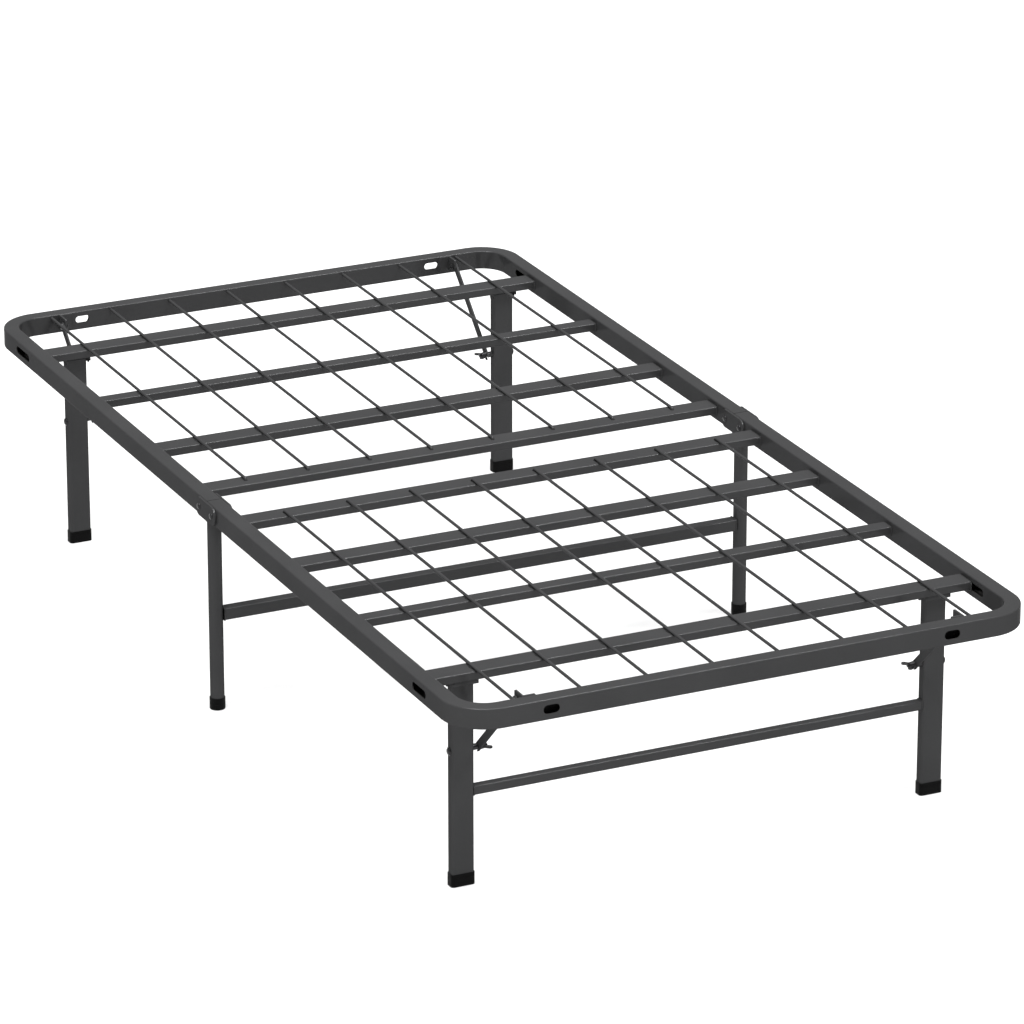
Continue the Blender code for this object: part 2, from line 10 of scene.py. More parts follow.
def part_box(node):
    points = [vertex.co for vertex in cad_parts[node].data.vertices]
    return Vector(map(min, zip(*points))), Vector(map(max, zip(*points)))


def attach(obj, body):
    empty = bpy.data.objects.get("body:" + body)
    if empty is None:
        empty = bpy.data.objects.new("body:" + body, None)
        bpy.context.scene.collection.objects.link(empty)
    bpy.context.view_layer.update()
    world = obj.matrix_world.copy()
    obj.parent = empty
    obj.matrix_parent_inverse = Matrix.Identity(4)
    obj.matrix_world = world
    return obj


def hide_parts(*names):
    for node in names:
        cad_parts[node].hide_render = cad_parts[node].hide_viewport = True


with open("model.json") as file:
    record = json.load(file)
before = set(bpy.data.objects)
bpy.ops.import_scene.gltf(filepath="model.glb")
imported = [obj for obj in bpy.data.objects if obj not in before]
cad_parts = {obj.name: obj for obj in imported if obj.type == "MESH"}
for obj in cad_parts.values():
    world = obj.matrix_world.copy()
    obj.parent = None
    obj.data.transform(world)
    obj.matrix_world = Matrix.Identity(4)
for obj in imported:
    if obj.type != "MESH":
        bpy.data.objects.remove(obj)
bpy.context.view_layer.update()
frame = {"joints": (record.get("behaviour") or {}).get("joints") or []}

# --- Sizes read from the frame ----------------------------------------------------------------

GAP = 0.0003  # between pieces that touch
RAIL_LOW, RAIL_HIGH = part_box("head_rail")
WIDTH = RAIL_HIGH.x - RAIL_LOW.x
HALF_LENGTH = RAIL_HIGH.y
HEIGHT = RAIL_HIGH.z
RAIL_HEIGHT = RAIL_HIGH.z - RAIL_LOW.z
RAIL_MIDDLE = (RAIL_LOW.z + RAIL_HIGH.z) / 2
SEAM = RAIL_LOW.y
SLAT_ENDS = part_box("slat_1")
INNER_X = SLAT_ENDS[1].x + GAP
RAIL_WIDTH = WIDTH / 2 - INNER_X
INNER_Y = HALF_LENGTH - RAIL_WIDTH
WIRE_LOW, WIRE_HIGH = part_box("wire_head_1")
WIRE_RADIUS = (WIRE_HIGH.x - WIRE_LOW.x) / 2
WIRE_Z = WIRE_HIGH.z - WIRE_RADIUS
LEG_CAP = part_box("leg_cap_head_right")
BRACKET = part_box("leg_bracket_head_right")
LEG_X = (LEG_CAP[0].x + LEG_CAP[1].x) / 2
LEG_Y = (LEG_CAP[0].y + LEG_CAP[1].y) / 2
CAP_HEIGHT = LEG_CAP[1].z
LEG_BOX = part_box("leg_head_right")
LEG_DEPTH = LEG_BOX[1].y - LEG_BOX[0].y
CAP_WALL = (LEG_CAP[1].y - LEG_CAP[0].y - LEG_DEPTH) / 2
LEG_WIDTH = LEG_CAP[1].x - LEG_CAP[0].x - 2 * CAP_WALL
LEG_TOP = LEG_BOX[1].z
LEG_BOTTOM = LEG_BOX[0].z
BOLT_END_X = LEG_BOX[0].x
BRACE_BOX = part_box("brace_head_right")
BRACE_X = BRACE_BOX[0].x
BRACE_SHEET = BRACE_BOX[1].x - BRACE_BOX[0].x
BRACE_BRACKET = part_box("brace_bracket_head_right")
MIDDLE_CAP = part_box("middle_cap_right")
MIDDLE_LEG_X = (MIDDLE_CAP[0].x + MIDDLE_CAP[1].x) / 2
MIDDLE_LEG_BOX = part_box("middle_leg_right")
MIDDLE_LEG_RADIUS = (MIDDLE_LEG_BOX[1].y - MIDDLE_LEG_BOX[0].y) / 2
PLATE_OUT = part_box("link_plate_outer_right")


def joint_point(name):
    """Where a joint of the record is, in the bed's frame."""
    for joint in frame["joints"]:
        if joint["name"] == name:
            return Vector(joint["pos_m"])
    raise ValueError(name)


LINK_PIVOT = joint_point("head_fold").y
LEG_PIVOT = joint_point("head_leg_right_fold")
EAR_BOLT = joint_point("brace_head_right_swing")
BOLT_Z = joint_point("wing_nut_head_right_turn").z

# --- Details finer than the CAD ---------------------------------------------------------------

WALL = 0.0015
RAIL_EDGE = 0.0025
CORNER_RADIUS = 0.070
MITRE = 0.0075
SEAM_HALF = 0.0012
FOOT_SLOT = (0.0265, 0.014)
HEAD_SLOT = (0.0255, 0.0115)
SIDE_SLOT = {"foot": (0.048, 0.0130), "head": (0.060, 0.0130)}
SLOT_Z = 0.340
FOOT_SLOT_X = 0.333
HEAD_SLOT_Z = 0.3415
HEAD_SLOT_X = {"left": 0.324, "right": 0.332}
SLOT_Y = 0.807
VENT = (0.052, 0.020)
VENT_X = 0.330
VENT_Z = 0.3345
PAST_SEAM = 0.02
TUBE_EDGE = 0.0025
LEG_EDGE = 0.004
BRACKET_SHEET = 0.0012
BRACKET_SKIRT = 0.3275
CHEEK_RADIUS = 0.0048
CAP_FLOOR = 0.0033
BOLT_RADIUS = 0.0027
BRACE_HALF = 0.0065
EAR_SHEET = 0.003
EAR_TIP = 0.3355
FLANGE_SHEET = 0.005
FLANGE_LENGTH = 0.0207
EAR_FACE = BRACE_X - GAP
MIDDLE_LEG_TOP = 0.321
PLATE_SHEET = 0.003
RIVET_RADIUS = 0.0052
RIVET_HEIGHT = 0.0032
RIVET_SHANK = 0.003
WELD_RADIUS = 0.0016
# Size of each weld drop, stretched along the wire so its dark coat covers the wire's painted contact
# shadow
WELD_AND_SHADOW_DROP = Vector((0.0044, 0.0085, 0.0017))
SIDES = (("left", -1), ("right", 1))
ENDS = (("foot", -1), ("head", 1))
ALONG_X = Matrix(((0, 0, 1), (1, 0, 0), (0, 1, 0))).to_4x4()  # local Z to world X, local X to world Y

# --- Camera and light -------------------------------------------------------------------------

VIEW_AZIMUTH = math.radians(-25.2537)
VIEW_ELEVATION = math.radians(21.2021)
CAMERA_POSITION = (-3.9097, -8.3991, 3.8519)
LENS_MM = 216.69
SENSOR_MM = 36


def add_camera():
    data = bpy.data.cameras.new("camera")
    data.sensor_width = SENSOR_MM
    data.lens = LENS_MM
    data.clip_end = 200
    camera = bpy.data.objects.new("camera", data)
    camera.location = CAMERA_POSITION
    camera.rotation_euler = (math.radians(90) - VIEW_ELEVATION, 0, VIEW_AZIMUTH)
    bpy.context.scene.collection.objects.link(camera)
    bpy.context.scene.camera = camera


def add_light(name, kind, energy, azimuth, elevation, **settings):
    """A light shining at the bed from a compass direction (0 is the head end) and height in degrees."""
    data = bpy.data.lights.new(name, kind)
    data.energy = energy
    for key, value in settings.items():
        setattr(data, key, value)
    light = bpy.data.objects.new(name, data)
    az, el = math.radians(azimuth), math.radians(elevation)
    away = Vector((math.sin(az) * math.cos(el), math.cos(az) * math.cos(el), math.sin(el)))
    light.location = away * 6
    light.rotation_euler = away.to_track_quat("Z", "Y").to_euler()
    bpy.context.scene.collection.objects.link(light)


def add_world(strength):
    world = bpy.data.worlds.new("studio")
    world.use_nodes = True
    world.node_tree.nodes["Background"].inputs["Color"].default_value = (1, 1, 1, 1)
    world.node_tree.nodes["Background"].inputs["Strength"].default_value = strength
    bpy.context.scene.world = world


def add_stage():
    """A wide pale floor, its far parts turned up into a backdrop."""
    radius, rise, steps = 14.0, 8.0, 10
    profile = [(0.0, 0.0), (radius, 0.0)]
    for step in range(1, steps + 1):
        angle = math.radians(90 * step / steps)
        profile.append((radius + rise * math.sin(angle), rise * (1 - math.cos(angle))))
    mesh = bpy.data.meshes.new("studio_floor")
    edges = [(i, i + 1) for i in range(len(profile) - 1)]
    mesh.from_pydata([(r, 0, z) for r, z in profile], edges, [])
    floor = bpy.data.objects.new("studio_floor", mesh)
    bpy.context.scene.collection.objects.link(floor)
    screw = floor.modifiers.new("turn", "SCREW")
    screw.steps = screw.render_steps = 64
    screw.use_normal_flip = False
    screw.use_smooth_shade = True
    floor.data.materials.append(floor_material())


# --- Materials --------------------------------------------------------------------------------


def node_tools(name):
    """A new material, its link function, its shader node, and a function that adds a node."""
    made = bpy.data.materials.new(name)
    made.use_nodes = True
    tree = made.node_tree
    shader = tree.nodes["Principled BSDF"]

    def add(kind, **settings):
        node = tree.nodes.new(kind)
        for key, value in settings.items():
            setattr(node, key, value)
        return node

    return made, tree.links.new, shader, add


def noise_texture(add, link, scale, detail, roughness=0.5):
    place = add("ShaderNodeTexCoord")
    texture = add("ShaderNodeTexNoise")
    texture.inputs["Scale"].default_value = scale
    texture.inputs["Detail"].default_value = detail
    texture.inputs["Roughness"].default_value = roughness
    link(place.outputs["Object"], texture.inputs["Vector"])
    return texture.outputs["Fac"]


def ramp(add, link, source, low, high, stops):
    """A colour ramp between two positions; stops are two colours."""
    node = add("ShaderNodeValToRGB")
    node.color_ramp.elements[0].position = low
    node.color_ramp.elements[1].position = high
    node.color_ramp.elements[0].color = (*stops[0], 1)
    node.color_ramp.elements[1].color = (*stops[1], 1)
    link(source, node.inputs["Fac"])
    return node.outputs["Color"]


def remap(add, link, source, low, high):
    """The middle of a noise's range, stretched to run from low to high."""
    node = add("ShaderNodeMapRange")
    node.inputs["From Min"].default_value = 0.3
    node.inputs["From Max"].default_value = 0.7
    node.inputs["To Min"].default_value = low
    node.inputs["To Max"].default_value = high
    link(source, node.inputs["Value"])
    return node.outputs["Result"]


def bump(add, link, shader, sources):
    """Layers of bump: each source is (height, strength, distance in metres)."""
    normal = None
    for height, strength, distance in sources:
        node = add("ShaderNodeBump")
        node.inputs["Strength"].default_value = strength
        node.inputs["Distance"].default_value = distance
        link(height, node.inputs["Height"])
        if normal:
            link(normal, node.inputs["Normal"])
        normal = node.outputs["Normal"]
    link(normal, shader.inputs["Normal"])


def powder_coat(name, smoothest, roughest):
    """Dark grey powder coat: a fine orange-peel skin with a soft gloss."""
    made, link, shader, add = node_tools(name)
    broad = noise_texture(add, link, 9, 4)
    speckle = noise_texture(add, link, 2600, 2)
    peel = noise_texture(add, link, 900, 3)
    body = ramp(add, link, broad, 0.3, 0.7, ((0.040, 0.0402, 0.0409), (0.047, 0.0472, 0.0480)))
    fleck = ramp(add, link, speckle, 0.35, 0.75, ((0.032, 0.032, 0.033), (0.056, 0.0563, 0.0573)))
    mixed = add("ShaderNodeMix", data_type="RGBA")
    mixed.inputs["Factor"].default_value = 0.35
    link(body, mixed.inputs[6])
    link(fleck, mixed.inputs[7])
    link(mixed.outputs[2], shader.inputs["Base Color"])
    link(remap(add, link, broad, smoothest, roughest), shader.inputs["Roughness"])
    shader.inputs["Specular IOR Level"].default_value = 0.0
    shader.inputs["Metallic"].default_value = 0.26
    shader.inputs["Specular Tint"].default_value = (0.5, 0.5, 0.5, 1)
    bump(add, link, shader, [(peel, 0.04, 0.0002), (speckle, 0.03, 0.0001)])
    return made


def tube_inside_shade():
    """Dull bare steel inside the tubes, coloured almost black as painted shade of the hollows."""
    made, link, shader, add = node_tools("tube_inside_shade")
    stain = noise_texture(add, link, 60, 4)
    link(ramp(add, link, stain, 0.35, 0.65, ((0.006, 0.006, 0.006), (0.013, 0.012, 0.011))),
         shader.inputs["Base Color"])
    link(remap(add, link, stain, 0.6, 0.9), shader.inputs["Roughness"])
    bump(add, link, shader, [(stain, 0.2, 0.0003)])
    return made


def moulded_plastic():
    """Black moulded plastic with a fine grain and uneven gloss."""
    made, link, shader, add = node_tools("black_plastic")
    grain = noise_texture(add, link, 1800, 2)
    scuff = noise_texture(add, link, 45, 5, 0.6)
    body = ramp(add, link, scuff, 0.35, 0.75, ((0.0022, 0.0022, 0.0023), (0.0042, 0.0042, 0.0043)))
    link(body, shader.inputs["Base Color"])
    link(remap(add, link, scuff, 0.42, 0.62), shader.inputs["Roughness"])
    shader.inputs["Specular IOR Level"].default_value = 0.05
    bump(add, link, shader, [(grain, 0.25, 0.0002), (scuff, 0.08, 0.0003)])
    return made


def black_steel():
    """Black-oxide fasteners, with patches of uneven gloss."""
    made, link, shader, add = node_tools("black_steel")
    patch = noise_texture(add, link, 160, 4)
    fine = noise_texture(add, link, 3000, 2)
    body = ramp(add, link, patch, 0.35, 0.7, ((0.020, 0.020, 0.021), (0.034, 0.034, 0.035)))
    link(body, shader.inputs["Base Color"])
    link(remap(add, link, patch, 0.24, 0.32), shader.inputs["Roughness"])
    shader.inputs["Metallic"].default_value = 0.6
    shader.inputs["Specular IOR Level"].default_value = 0.25
    bump(add, link, shader, [(fine, 0.06, 0.0001)])
    return made


def floor_material():
    """Pale studio floor that gives off part of its own light, so that shadows on it stay faint."""
    made, link, shader, add = node_tools("studio_floor")
    tone = noise_texture(add, link, 0.7, 2)
    link(ramp(add, link, tone, 0.3, 0.7, ((0.34, 0.34, 0.34), (0.36, 0.36, 0.36))),
         shader.inputs["Base Color"])
    shader.inputs["Roughness"].default_value = 0.9
    shader.inputs["Specular IOR Level"].default_value = 0.0
    shader.inputs["Emission Color"].default_value = (1, 1, 1, 1)
    shader.inputs["Emission Strength"].default_value = 0.50
    return made


def weld_and_shadow_coat():
    """Thin, near-black coat over the rough welds where the wires cross the slats; the darkness is
    painted shadow of the wires on the slat tops.
    """
    made, link, shader, add = node_tools("weld_and_shadow_coat")
    lump = noise_texture(add, link, 420, 4)
    link(ramp(add, link, lump, 0.3, 0.7, ((0.005, 0.005, 0.005), (0.016, 0.016, 0.0165))),
         shader.inputs["Base Color"])
    link(remap(add, link, lump, 0.40, 0.60), shader.inputs["Roughness"])
    shader.inputs["Specular IOR Level"].default_value = 0.1
    bump(add, link, shader, [(lump, 0.3, 0.0004)])
    return made


POWDER = powder_coat("powder_coat", 0.14, 0.20)
FLAT_POWDER = powder_coat("flat_powder_coat", 0.55, 0.65)
# Near-black coat for the crossing welds: painted shadow of the wires on the slat tops
WELD_AND_SHADOW = weld_and_shadow_coat()
# Near-black lining for tube insides, slot walls and bores: painted shade of the hollows
INSIDE_SHADE = tube_inside_shade()
PLASTIC = moulded_plastic()
STEEL = black_steel()

# --- Mesh tools -------------------------------------------------------------------------------


def helper(data):
    """A scratch object that holds data while its modifiers are worked out."""
    obj = bpy.data.objects.new("helper", data)
    bpy.context.scene.collection.objects.link(obj)
    return obj


def bake(obj):
    """The evaluated mesh of a scratch object, welded and facing out; the object is removed."""
    bpy.context.view_layer.update()
    graph = bpy.context.evaluated_depsgraph_get()
    mesh = bpy.data.meshes.new_from_object(obj.evaluated_get(graph))
    bpy.data.objects.remove(obj, do_unlink=True)
    shape = bmesh.new()
    shape.from_mesh(mesh)
    bmesh.ops.remove_doubles(shape, verts=shape.verts, dist=1e-6)
    bmesh.ops.recalc_face_normals(shape, faces=shape.faces)
    if shape.calc_volume(signed=True) < 0:
        bmesh.ops.reverse_faces(shape, faces=shape.faces)
    shape.to_mesh(mesh)
    shape.free()
    return mesh


def moved(mesh, matrix):
    copy = mesh.copy()
    copy.transform(matrix)
    if matrix.determinant() < 0:
        copy.flip_normals()
    return copy


def shifted(mesh, x, y, z):
    return moved(mesh, Matrix.Translation((x, y, z)))


def combine(mesh, operation, tools):
    body = helper(mesh)
    others = [helper(tool) for tool in tools]
    for other in others:
        boolean = body.modifiers.new("boolean", "BOOLEAN")
        boolean.operation = operation
        boolean.solver = "EXACT"
        boolean.material_mode = "TRANSFER"
        boolean.object = other
    result = bake(body)
    for other in others:
        bpy.data.objects.remove(other, do_unlink=True)
    return result


def cut(mesh, *tools):
    return combine(mesh, "DIFFERENCE", tools)


def join(mesh, *tools):
    return combine(mesh, "UNION", tools)


def merged(*meshes):
    """Several closed shapes kept in one mesh, touching or apart."""
    shape = bmesh.new()
    for mesh in meshes:
        shape.from_mesh(mesh)
    result = bpy.data.meshes.new("merged")
    shape.to_mesh(result)
    shape.free()
    for material in meshes[0].materials:
        result.materials.append(material)
    return result


def box(low, high):
    low, high = Vector(low), Vector(high)
    shape = bmesh.new()
    bmesh.ops.create_cube(shape, size=1)
    size = Matrix.Diagonal((*(high - low), 1))
    bmesh.ops.transform(shape, matrix=Matrix.Translation((low + high) / 2) @ size, verts=shape.verts)
    mesh = bpy.data.meshes.new("box")
    shape.to_mesh(mesh)
    shape.free()
    return mesh


def flat(outlines, thickness):
    """A flat shape in the XY plane, centred on it; outlines after the first are holes."""
    curve = bpy.data.curves.new("outline", "CURVE")
    curve.dimensions = "2D"
    curve.fill_mode = "BOTH"
    curve.extrude = thickness / 2
    for outline in outlines:
        spline = curve.splines.new("POLY")
        spline.points.add(len(outline) - 1)
        spline.use_cyclic_u = True
        for point, (x, y) in zip(spline.points, outline):
            point.co = (x, y, 0, 1)
    return bake(helper(curve))


def turned(profile, steps=32):
    """A shape turned about Z from (radius, height) points, listed top to bottom."""
    mesh = bpy.data.meshes.new("profile")
    edges = [(i, i + 1) for i in range(len(profile) - 1)]
    mesh.from_pydata([(radius, 0, height) for radius, height in profile], edges, [])
    obj = helper(mesh)
    screw = obj.modifiers.new("turn", "SCREW")
    screw.steps = screw.render_steps = steps
    screw.use_merge_vertices = True
    screw.merge_threshold = 0.00005
    return bake(obj)


def rod(start, end, radius, steps=24):
    start, end = Vector(start), Vector(end)
    length = (end - start).length
    mesh = turned([(0, length), (radius, length), (radius, 0), (0, 0)], steps)
    turn = (end - start).to_track_quat("Z", "Y").to_matrix().to_4x4()
    return moved(mesh, Matrix.Translation(start) @ turn)


def bevelled(mesh, width, segments=3, angle=40):
    obj = helper(mesh)
    bevel = obj.modifiers.new("bevel", "BEVEL")
    bevel.width = width
    bevel.segments = segments
    bevel.limit_method = "ANGLE"
    bevel.angle_limit = math.radians(angle)
    bevel.use_clamp_overlap = True
    return bake(obj)


def arc(center, radius, first, last, steps):
    points = []
    for step in range(steps + 1):
        angle = math.radians(first + (last - first) * step / steps)
        points.append((center[0] + radius * math.cos(angle), center[1] + radius * math.sin(angle)))
    return points


def rounded_rectangle(width, height, radius, steps=6):
    points = []
    x, y = width / 2 - radius, height / 2 - radius
    for turn, (sx, sy) in enumerate(((1, 1), (-1, 1), (-1, -1), (1, -1))):
        points += arc((sx * x, sy * y), radius, 90 * turn, 90 * turn + 90, steps)
    return points


def circle(center, radius, steps=32):
    return arc(center, radius, 0, 360, steps)[:-1]


def with_material(mesh, material):
    mesh.materials.clear()
    mesh.materials.append(material)
    return mesh


def tube(width, height, radius, length):
    """A hollow rectangular tube along Z, centred, open at both ends, bare inside and coloured almost
    black there as painted shade.
    """
    solid = with_material(flat([rounded_rectangle(width, height, radius)], length), POWDER)
    hole = rounded_rectangle(width - 2 * WALL, height - 2 * WALL, max(radius - WALL, 0.0005), 2)
    return cut(solid, with_material(flat([hole], length + 0.01), INSIDE_SHADE))


def weld_bead(points, radius, closed=False, seed=0.0):
    """A lumpy weld along a path: a row of overlapping ripples."""
    curve = bpy.data.curves.new("bead", "CURVE")
    curve.dimensions = "3D"
    curve.bevel_depth = radius
    curve.bevel_resolution = 2
    curve.use_fill_caps = True
    route = resample([Vector(point) for point in points], radius * 0.55, closed)
    spline = curve.splines.new("POLY")
    spline.points.add(len(route) - 1)
    spline.use_cyclic_u = closed
    for index, (point, place) in enumerate(zip(spline.points, route)):
        point.co = (*place, 1)
        ripple = 0.86 + 0.14 * math.sin(index * 2.1 + seed)
        point.radius = ripple + 0.12 * noise.noise(place * 300 + Vector((seed, 0, 0)))
        if not closed and index in (0, len(route) - 1):
            point.radius = 0.45
    return bake(helper(curve))


def resample(points, step, closed):
    """Points a set distance apart along a path."""
    path = points + points[:1] if closed else points
    route = []
    for start, end in zip(path, path[1:]):
        count = max(1, round((end - start).length / step))
        route += [start.lerp(end, index / count) for index in range(count)]
    return route if closed else route + [path[-1]]


def show(name, mesh, body, nodes, material, smooth=35):
    """Put a finished mesh in the scene: it rides on a body and stands for CAD nodes."""
    mesh.name = name
    if not any(mesh.materials):
        with_material(mesh, material)
    mesh.shade_smooth()
    mesh.set_sharp_from_angle(angle=math.radians(smooth))
    obj = bpy.data.objects.new(name, mesh)
    bpy.context.scene.collection.objects.link(obj)
    normals = obj.modifiers.new("flat_faces", "WEIGHTED_NORMAL")
    normals.keep_sharp = True
    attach(obj, body)
    if nodes:
        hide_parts(*nodes)


def leg_body(end, side):
    return "foot_legs" if end == "foot" else f"head_leg_{side}_body"


def corners():
    """(end, side, mirror matrix) for the four corners of the bed."""
    for end, sy in ENDS:
        for side, sx in SIDES:
            yield end, side, Matrix.Diagonal((sx, sy, 1, 1))


# --- Rails ------------------------------------------------------------------------------------


def rail_path(start):
    """(middle of the rail, its outward angle in degrees) along the U of the head half."""
    x, y = (WIDTH - RAIL_WIDTH) / 2, HALF_LENGTH - RAIL_WIDTH / 2
    radius = CORNER_RADIUS - RAIL_WIDTH / 2
    path = [((x, start), 0)]
    for center_x, first in ((x - radius, 0), (radius - x, 90)):
        points = arc((center_x, y - radius), radius, first, first + 90, 28)
        path += [(point, first + 90 * step / 28) for step, point in enumerate(points)]
    return path + [((-x, start), 180)]


def rail_sweep(inset, edge, start):
    """A rectangle with rounded edges, drawn in by inset, swept along the U."""
    section = rounded_rectangle(RAIL_WIDTH - 2 * inset, RAIL_HEIGHT - 2 * inset, edge)
    shape = bmesh.new()
    rings = []
    for (x, y), degrees in rail_path(start):
        out_x, out_y = math.cos(math.radians(degrees)), math.sin(math.radians(degrees))
        places = [(x + out_x * across, y + out_y * across, RAIL_MIDDLE + up) for across, up in section]
        rings.append([shape.verts.new(place) for place in places])
    for first, second in zip(rings, rings[1:]):
        for index in range(len(section)):
            shape.faces.new((first[index - 1], first[index], second[index], second[index - 1]))
    shape.faces.new(rings[0])
    shape.faces.new(rings[-1])
    mesh = bpy.data.meshes.new("sweep")
    shape.to_mesh(mesh)
    shape.free()
    return bake(helper(mesh))


def seam_cutter():
    """Everything on the foot side of the seam, with the mitre under the rail's mid-height."""
    below = RAIL_LOW.z - 0.02
    slope = MITRE / (RAIL_HEIGHT / 2)
    outline = [
        (-0.1, below),
        (SEAM + slope * (RAIL_MIDDLE - below), below),
        (SEAM, RAIL_MIDDLE),
        (SEAM_HALF, HEIGHT + 0.02),
        (-0.1, HEIGHT + 0.02),
    ]
    return moved(flat([outline], WIDTH + 0.1), ALONG_X)


def slot_cutter(size, center, along_x, depth):
    """An oblong cutter lying along Y through a side rail, or along X through an end rail."""
    outline = rounded_rectangle(*size, size[1] / 2 - 0.0001, 10)
    # The cutter's near-black material passes to the slot walls as painted shade
    mesh = with_material(moved(flat([outline], depth), ALONG_X), INSIDE_SHADE)
    turn = Matrix.Rotation(math.radians(90), 4, "Z") if along_x else Matrix.Identity(4)
    return moved(mesh, Matrix.Translation(center) @ turn)


def slots(end):
    """Cutters for the oblong slots of one rail half."""
    tools = []
    for side, sx in SIDES:
        side_x = sx * (WIDTH / 2 - RAIL_WIDTH / 2)
        tools.append(slot_cutter(SIDE_SLOT[end], (side_x, SLOT_Y, SLOT_Z), False, 0.04))
        if end == "foot":
            tools.append(slot_cutter(FOOT_SLOT, (sx * FOOT_SLOT_X, HALF_LENGTH, SLOT_Z), True, 0.01))
        else:
            inside = (sx * HEAD_SLOT_X[side], INNER_Y, HEAD_SLOT_Z)
            tools.append(slot_cutter(VENT, (sx * VENT_X, HALF_LENGTH, VENT_Z), True, 0.01))
            tools.append(slot_cutter(HEAD_SLOT, inside, True, 0.01))
    return tools


def rail(end):
    """One half of the rail, lying on the head side: hollow, mitred at the seam, with its slots."""
    solid = with_material(rail_sweep(0, RAIL_EDGE, SEAM - PAST_SEAM), POWDER)
    # The hollow's near-black lining is painted shade inside the rail
    hollow = with_material(rail_sweep(WALL, RAIL_EDGE - WALL, SEAM - 2 * PAST_SEAM), INSIDE_SHADE)
    return cut(solid, hollow, seam_cutter(), *slots(end))


def make_rails():
    for end, sy in ENDS:
        mesh = moved(rail(end), Matrix.Diagonal((1, sy, 1, 1)))
        show(f"{end}_rail_tube", mesh, f"{end}_half", [f"{end}_rail"], POWDER)


# --- Slats and wires --------------------------------------------------------------------------


def wire_places():
    """The X of each wire, from the left."""
    places = []
    for number in range(1, 9):
        low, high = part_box(f"wire_head_{number}")
        places.append((low.x + high.x) / 2)
    return places


WIRE_X = wire_places()


def slat(number):
    low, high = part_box(f"slat_{number}")
    size = high - low
    middle = (low + high) / 2
    mesh = tube(size.y, size.z, TUBE_EDGE, size.x + 0.0004)
    mesh = moved(mesh, Matrix.Translation(middle) @ ALONG_X)
    if number in (4, 5):
        drop = Vector((0, 0, 0.004))
        tops = [Vector((x, middle.y, high.z - WALL)) for x in WIRE_X]
        mesh = cut(mesh, *[rod(top - drop, top + drop, WIRE_RADIUS + 0.0006) for top in tops])
    return mesh, low, high


def slat_welds(low, high):
    """Beads where a slat meets the rails: under it and up both sides."""
    beads = []
    for end_x in (low.x, high.x):
        inwards = 0.0004 if end_x < 0 else -0.0004
        x = end_x + inwards
        y0, y1, z0, z1 = low.y, high.y, low.z, high.z
        path = [(x, y0, z1 - 0.003), (x, y0, z0 + 0.0015), (x, y0 + 0.0015, z0)]
        path += [(x, y1 - 0.0015, z0), (x, y1, z0 + 0.0015), (x, y1, z1 - 0.003)]
        beads.append(weld_bead(path, WELD_RADIUS, seed=end_x + y0))
    return merged(*beads)


def make_slats():
    for number in range(1, 9):
        body = "head_half" if number <= 4 else "foot_half"
        mesh, low, high = slat(number)
        show(f"slat_tube_{number}", mesh, body, [f"slat_{number}"], POWDER)
        show(f"slat_welds_{number}", slat_welds(low, high), body, [], POWDER, 60)


def wire(x):
    """One wire of the head half: straight from the end rail, then bent down into slat 4."""
    low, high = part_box("wire_head_1")
    bend = WIRE_RADIUS * 1.35
    curve = bpy.data.curves.new("wire", "CURVE")
    curve.dimensions = "3D"
    curve.bevel_depth = WIRE_RADIUS
    curve.bevel_resolution = 5
    curve.use_fill_caps = True
    last_y = low.y + WIRE_RADIUS
    route = [(high.y, WIRE_Z), (high.y - 0.2, WIRE_Z), (high.y - 0.5, WIRE_Z)]
    route += arc((last_y + bend, WIRE_Z - bend), bend, 90, 180, 8)
    route.append((last_y, low.z))
    spline = curve.splines.new("POLY")
    spline.points.add(len(route) - 1)
    for point, (y, z) in zip(spline.points, route):
        point.co = (x, y, z, 1)
    return bake(helper(curve))


def weld_and_shadow_drop(center, seed):
    """A small flattened drop of weld beside a wire, stretched along it to carry painted shadow of the
    wire on the slat top.
    """
    shape = bmesh.new()
    bmesh.ops.create_uvsphere(shape, u_segments=12, v_segments=8, radius=1)
    for vertex in shape.verts:
        lump = 1 + 0.18 * noise.noise(vertex.co * 1.7 + Vector((seed, 0, 0)))
        vertex.co = vertex.co * WELD_AND_SHADOW_DROP * lump + center
    mesh = bpy.data.meshes.new("drop")
    shape.to_mesh(mesh)
    shape.free()
    return mesh


def make_wires():
    crossings = [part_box(f"slat_{number}") for number in (1, 2, 3)]
    for end, sy in ENDS:
        mirror = Matrix.Diagonal((1, sy, 1, 1))
        drops = []
        for number, x in enumerate(WIRE_X, 1):
            name = f"wire_{end}_{number}"
            show(f"{name}_rod", moved(wire(x), mirror), f"{end}_half", [name], POWDER)
            for low, high in crossings:
                y = (low.y + high.y) / 2
                drops.append(weld_and_shadow_drop(Vector((x, y, high.z)), x * 50 + y * 9))
        # These dark drops are weld plus painted shadow of each wire on the slat tops
        show(f"wire_welds_and_shadow_{end}", moved(merged(*drops), mirror), f"{end}_half", [], WELD_AND_SHADOW, 60)


# --- End legs ---------------------------------------------------------------------------------


def leg_tube():
    mesh = tube(LEG_WIDTH, LEG_DEPTH, LEG_EDGE, LEG_TOP - LEG_BOTTOM)
    return shifted(mesh, LEG_X, LEG_Y, (LEG_TOP + LEG_BOTTOM) / 2)


def dome(radius, height, steps=8):
    """Profile points of a dome, from its top down to its rim."""
    points = []
    for step in range(steps + 1):
        angle = math.radians(90 * step / steps)
        points.append((radius * math.sin(angle), height * math.cos(angle)))
    return points


def thread(radius, top, bottom, pitch=0.0009):
    """Profile points of a threaded shank, as rings of crests and roots."""
    points = []
    count = int((top - bottom) / pitch)
    for turn in range(count):
        points.append((radius, top - pitch * turn))
        points.append((radius - pitch * 0.45, top - pitch * (turn + 0.5)))
    return points + [(radius, bottom)]


